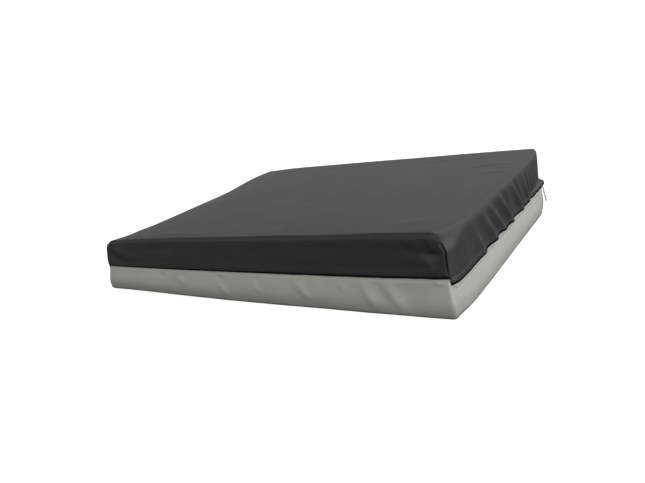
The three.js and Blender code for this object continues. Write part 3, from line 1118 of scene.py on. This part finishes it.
cover_fabric = make_cover_fabric()
cover_lining = make_lining("cover_lining", (0.09, 0.09, 0.095), (0.16, 0.16, 0.165))
base_fabric = make_base_fabric()
base_lining = make_lining("base_lining", (0.42, 0.42, 0.40), (0.55, 0.55, 0.53))
dark_thread = make_thread("dark_thread", *BLACK_NYLON)
painted_hem_shadow = make_painted_hem_shadow()
grey_thread = make_thread("grey_thread", (0.10, 0.10, 0.095), (0.16, 0.16, 0.15))
tape_weave = make_tape_weave()
coil_nylon = make_coil_nylon()
slider_metal = make_slider_metal()
soft_foam = make_foam_material("soft_foam", (0.48, 0.42, 0.28), (0.72, 0.66, 0.50), 2.2)
core_foam = make_foam_material("core_foam", (0.60, 0.58, 0.52), (0.80, 0.78, 0.72), 2.6)
rail_foam = make_foam_material("rail_foam", (0.16, 0.22, 0.32), (0.30, 0.38, 0.50), 1.8)


# ---- Assembly ----
def stitch_row(name, parts, height, clear, thread, body):
    """A line of thread along the wall row nearest this height, starting just behind the front."""
    _, points, facing, wall = parts
    lowest = points[wall[-1]]
    column = np.argmin(np.abs(lowest[:, 1]) + 1000 * (lowest[:, 0] < 0))
    row = wall[np.argmin(np.abs(points[wall[:, column], 2] - height))]
    # The thread runs from the front right, round the back, to the front left.
    row = np.roll(row, -np.argmin(np.hypot(points[row, 0] - HALF_X, points[row, 1] + HALF_Y)))
    row = row[points[row, 1] > -HALF_Y + clear]
    return sew(name, points[row], facing[row] * (1, 1, 0), thread, body)


cover = make_cover()
base = make_base()
hem_thread = stitch_row("hem_stitches", cover, HEM + HEM_BAND, 12, dark_thread, "cover")
edge_thread = stitch_row("edge_stitches", base, ZIP_EDGE - EDGE_BAND, 10, grey_thread, "base")
facing_strip = make_facing()
binding = make_front_seam()
make_zip()
make_foam_top(cover[0])
make_foam_block("foam_core", "core_block", core_foam)
make_foam_block("foam_rail_left", "rail_block_left", rail_foam)
make_foam_block("foam_rail_right", "rail_block_right", rail_foam)


# ---- Floor and light ----
def make_floor():
    """A round pale floor that curves up into a wall far behind, seen by the camera but giving no light."""
    flat, curve, wall, around = 8, 3, 8, 72
    turns = [math.radians(a) for a in range(10, 91, 10)]
    ring_radius = [0.01, 1, 3, flat] + [flat + curve * math.sin(a) for a in turns] + [flat + curve]
    ring_height = [0, 0, 0, 0] + [curve - curve * math.cos(a) for a in turns] + [wall]
    points = []
    for radius, height in zip(ring_radius, ring_height):
        for k in range(around):
            angle = 2 * math.pi * k / around
            points.append((radius * math.cos(angle), radius * math.sin(angle), height))
    rings = np.arange(len(points)).reshape(len(ring_radius), around)
    faces = [list(range(around))] + ring_faces(rings).tolist()
    mesh = bpy.data.meshes.new("floor")
    mesh.from_pydata(points, [], faces)
    floor = new_object("floor", mesh)
    shader = Shader("studio_floor")
    shader.set(Base_Color=(0.25, 0.25, 0.25), Roughness=0.9, Specular_IOR_Level=0.0)
    shader.set(Emission_Color=(1, 1, 1), Emission_Strength=0.93)
    mesh.materials.append(shader.material)
    floor.location.z = -0.0005
    floor.visible_diffuse = False
    floor.visible_glossy = False
    floor.visible_shadow = False


def make_world():
    """A soft white studio, dark below the horizon: bright in front, dimmer on the right, dim behind."""
    world = bpy.data.worlds.new("studio")
    world.use_nodes = True
    bpy.context.scene.world = world
    nodes = Nodes(world.node_tree)
    place = nodes.add("ShaderNodeTexCoord").outputs["Generated"]
    axes = nodes.add("ShaderNodeSeparateXYZ", {0: place}).outputs

    def ramp(axis, start, end, low, high):
        return nodes.spread(axes[axis], low, high, start, end, interpolation_type="SMOOTHSTEP")

    sides = nodes.math("ADD", ramp("Y", -0.9, 0.1, 1.25, 0.0), ramp("Y", 0.0, 0.9, 0.0, 0.42))
    sides = nodes.math("ADD", sides, ramp("X", 0.0, 0.9, 0.0, 0.93))
    sides = nodes.math("ADD", sides, ramp("X", -0.9, 0.0, 0.1, 0.0))
    light = nodes.math("MULTIPLY", sides, ramp("Z", -0.3, 0.1, 0.0, 1.0))
    background = nodes.tree.nodes["Background"].inputs
    nodes.feed(background["Color"], (1, 1, 1))
    nodes.feed(background["Strength"], light)


def make_lamp(name, place, target, size, power):
    data = bpy.data.lights.new(name, "AREA")
    data.shape = "DISK"
    data.size = size
    data.energy = power
    lamp = new_object(name, data)
    lamp.location = place
    lamp.rotation_euler = (Vector(target) - Vector(place)).to_track_quat("-Z", "Y").to_euler()
    return lamp


make_floor()
make_world()
make_lamp("key", (0.3, 1.25, 2.6), (0, 0, 0.1), 1.2, 24)
make_lamp("back", (1.6, 1.5, 1.9), (0, 0, 0.1), 1.2, 15)
make_lamp("side", (2.4, -0.2, 0.5), (0, 0, 0.1), 1.2, 29)
# A low fill light for the unseen side, which leaves no glare on the top.
fill = make_lamp("left", (-2.2, 0.1, 0.36), (-0.45, 0, 0.08), 0.6, 14)
fill.visible_glossy = False
bpy.context.scene.view_settings.view_transform = "Standard"
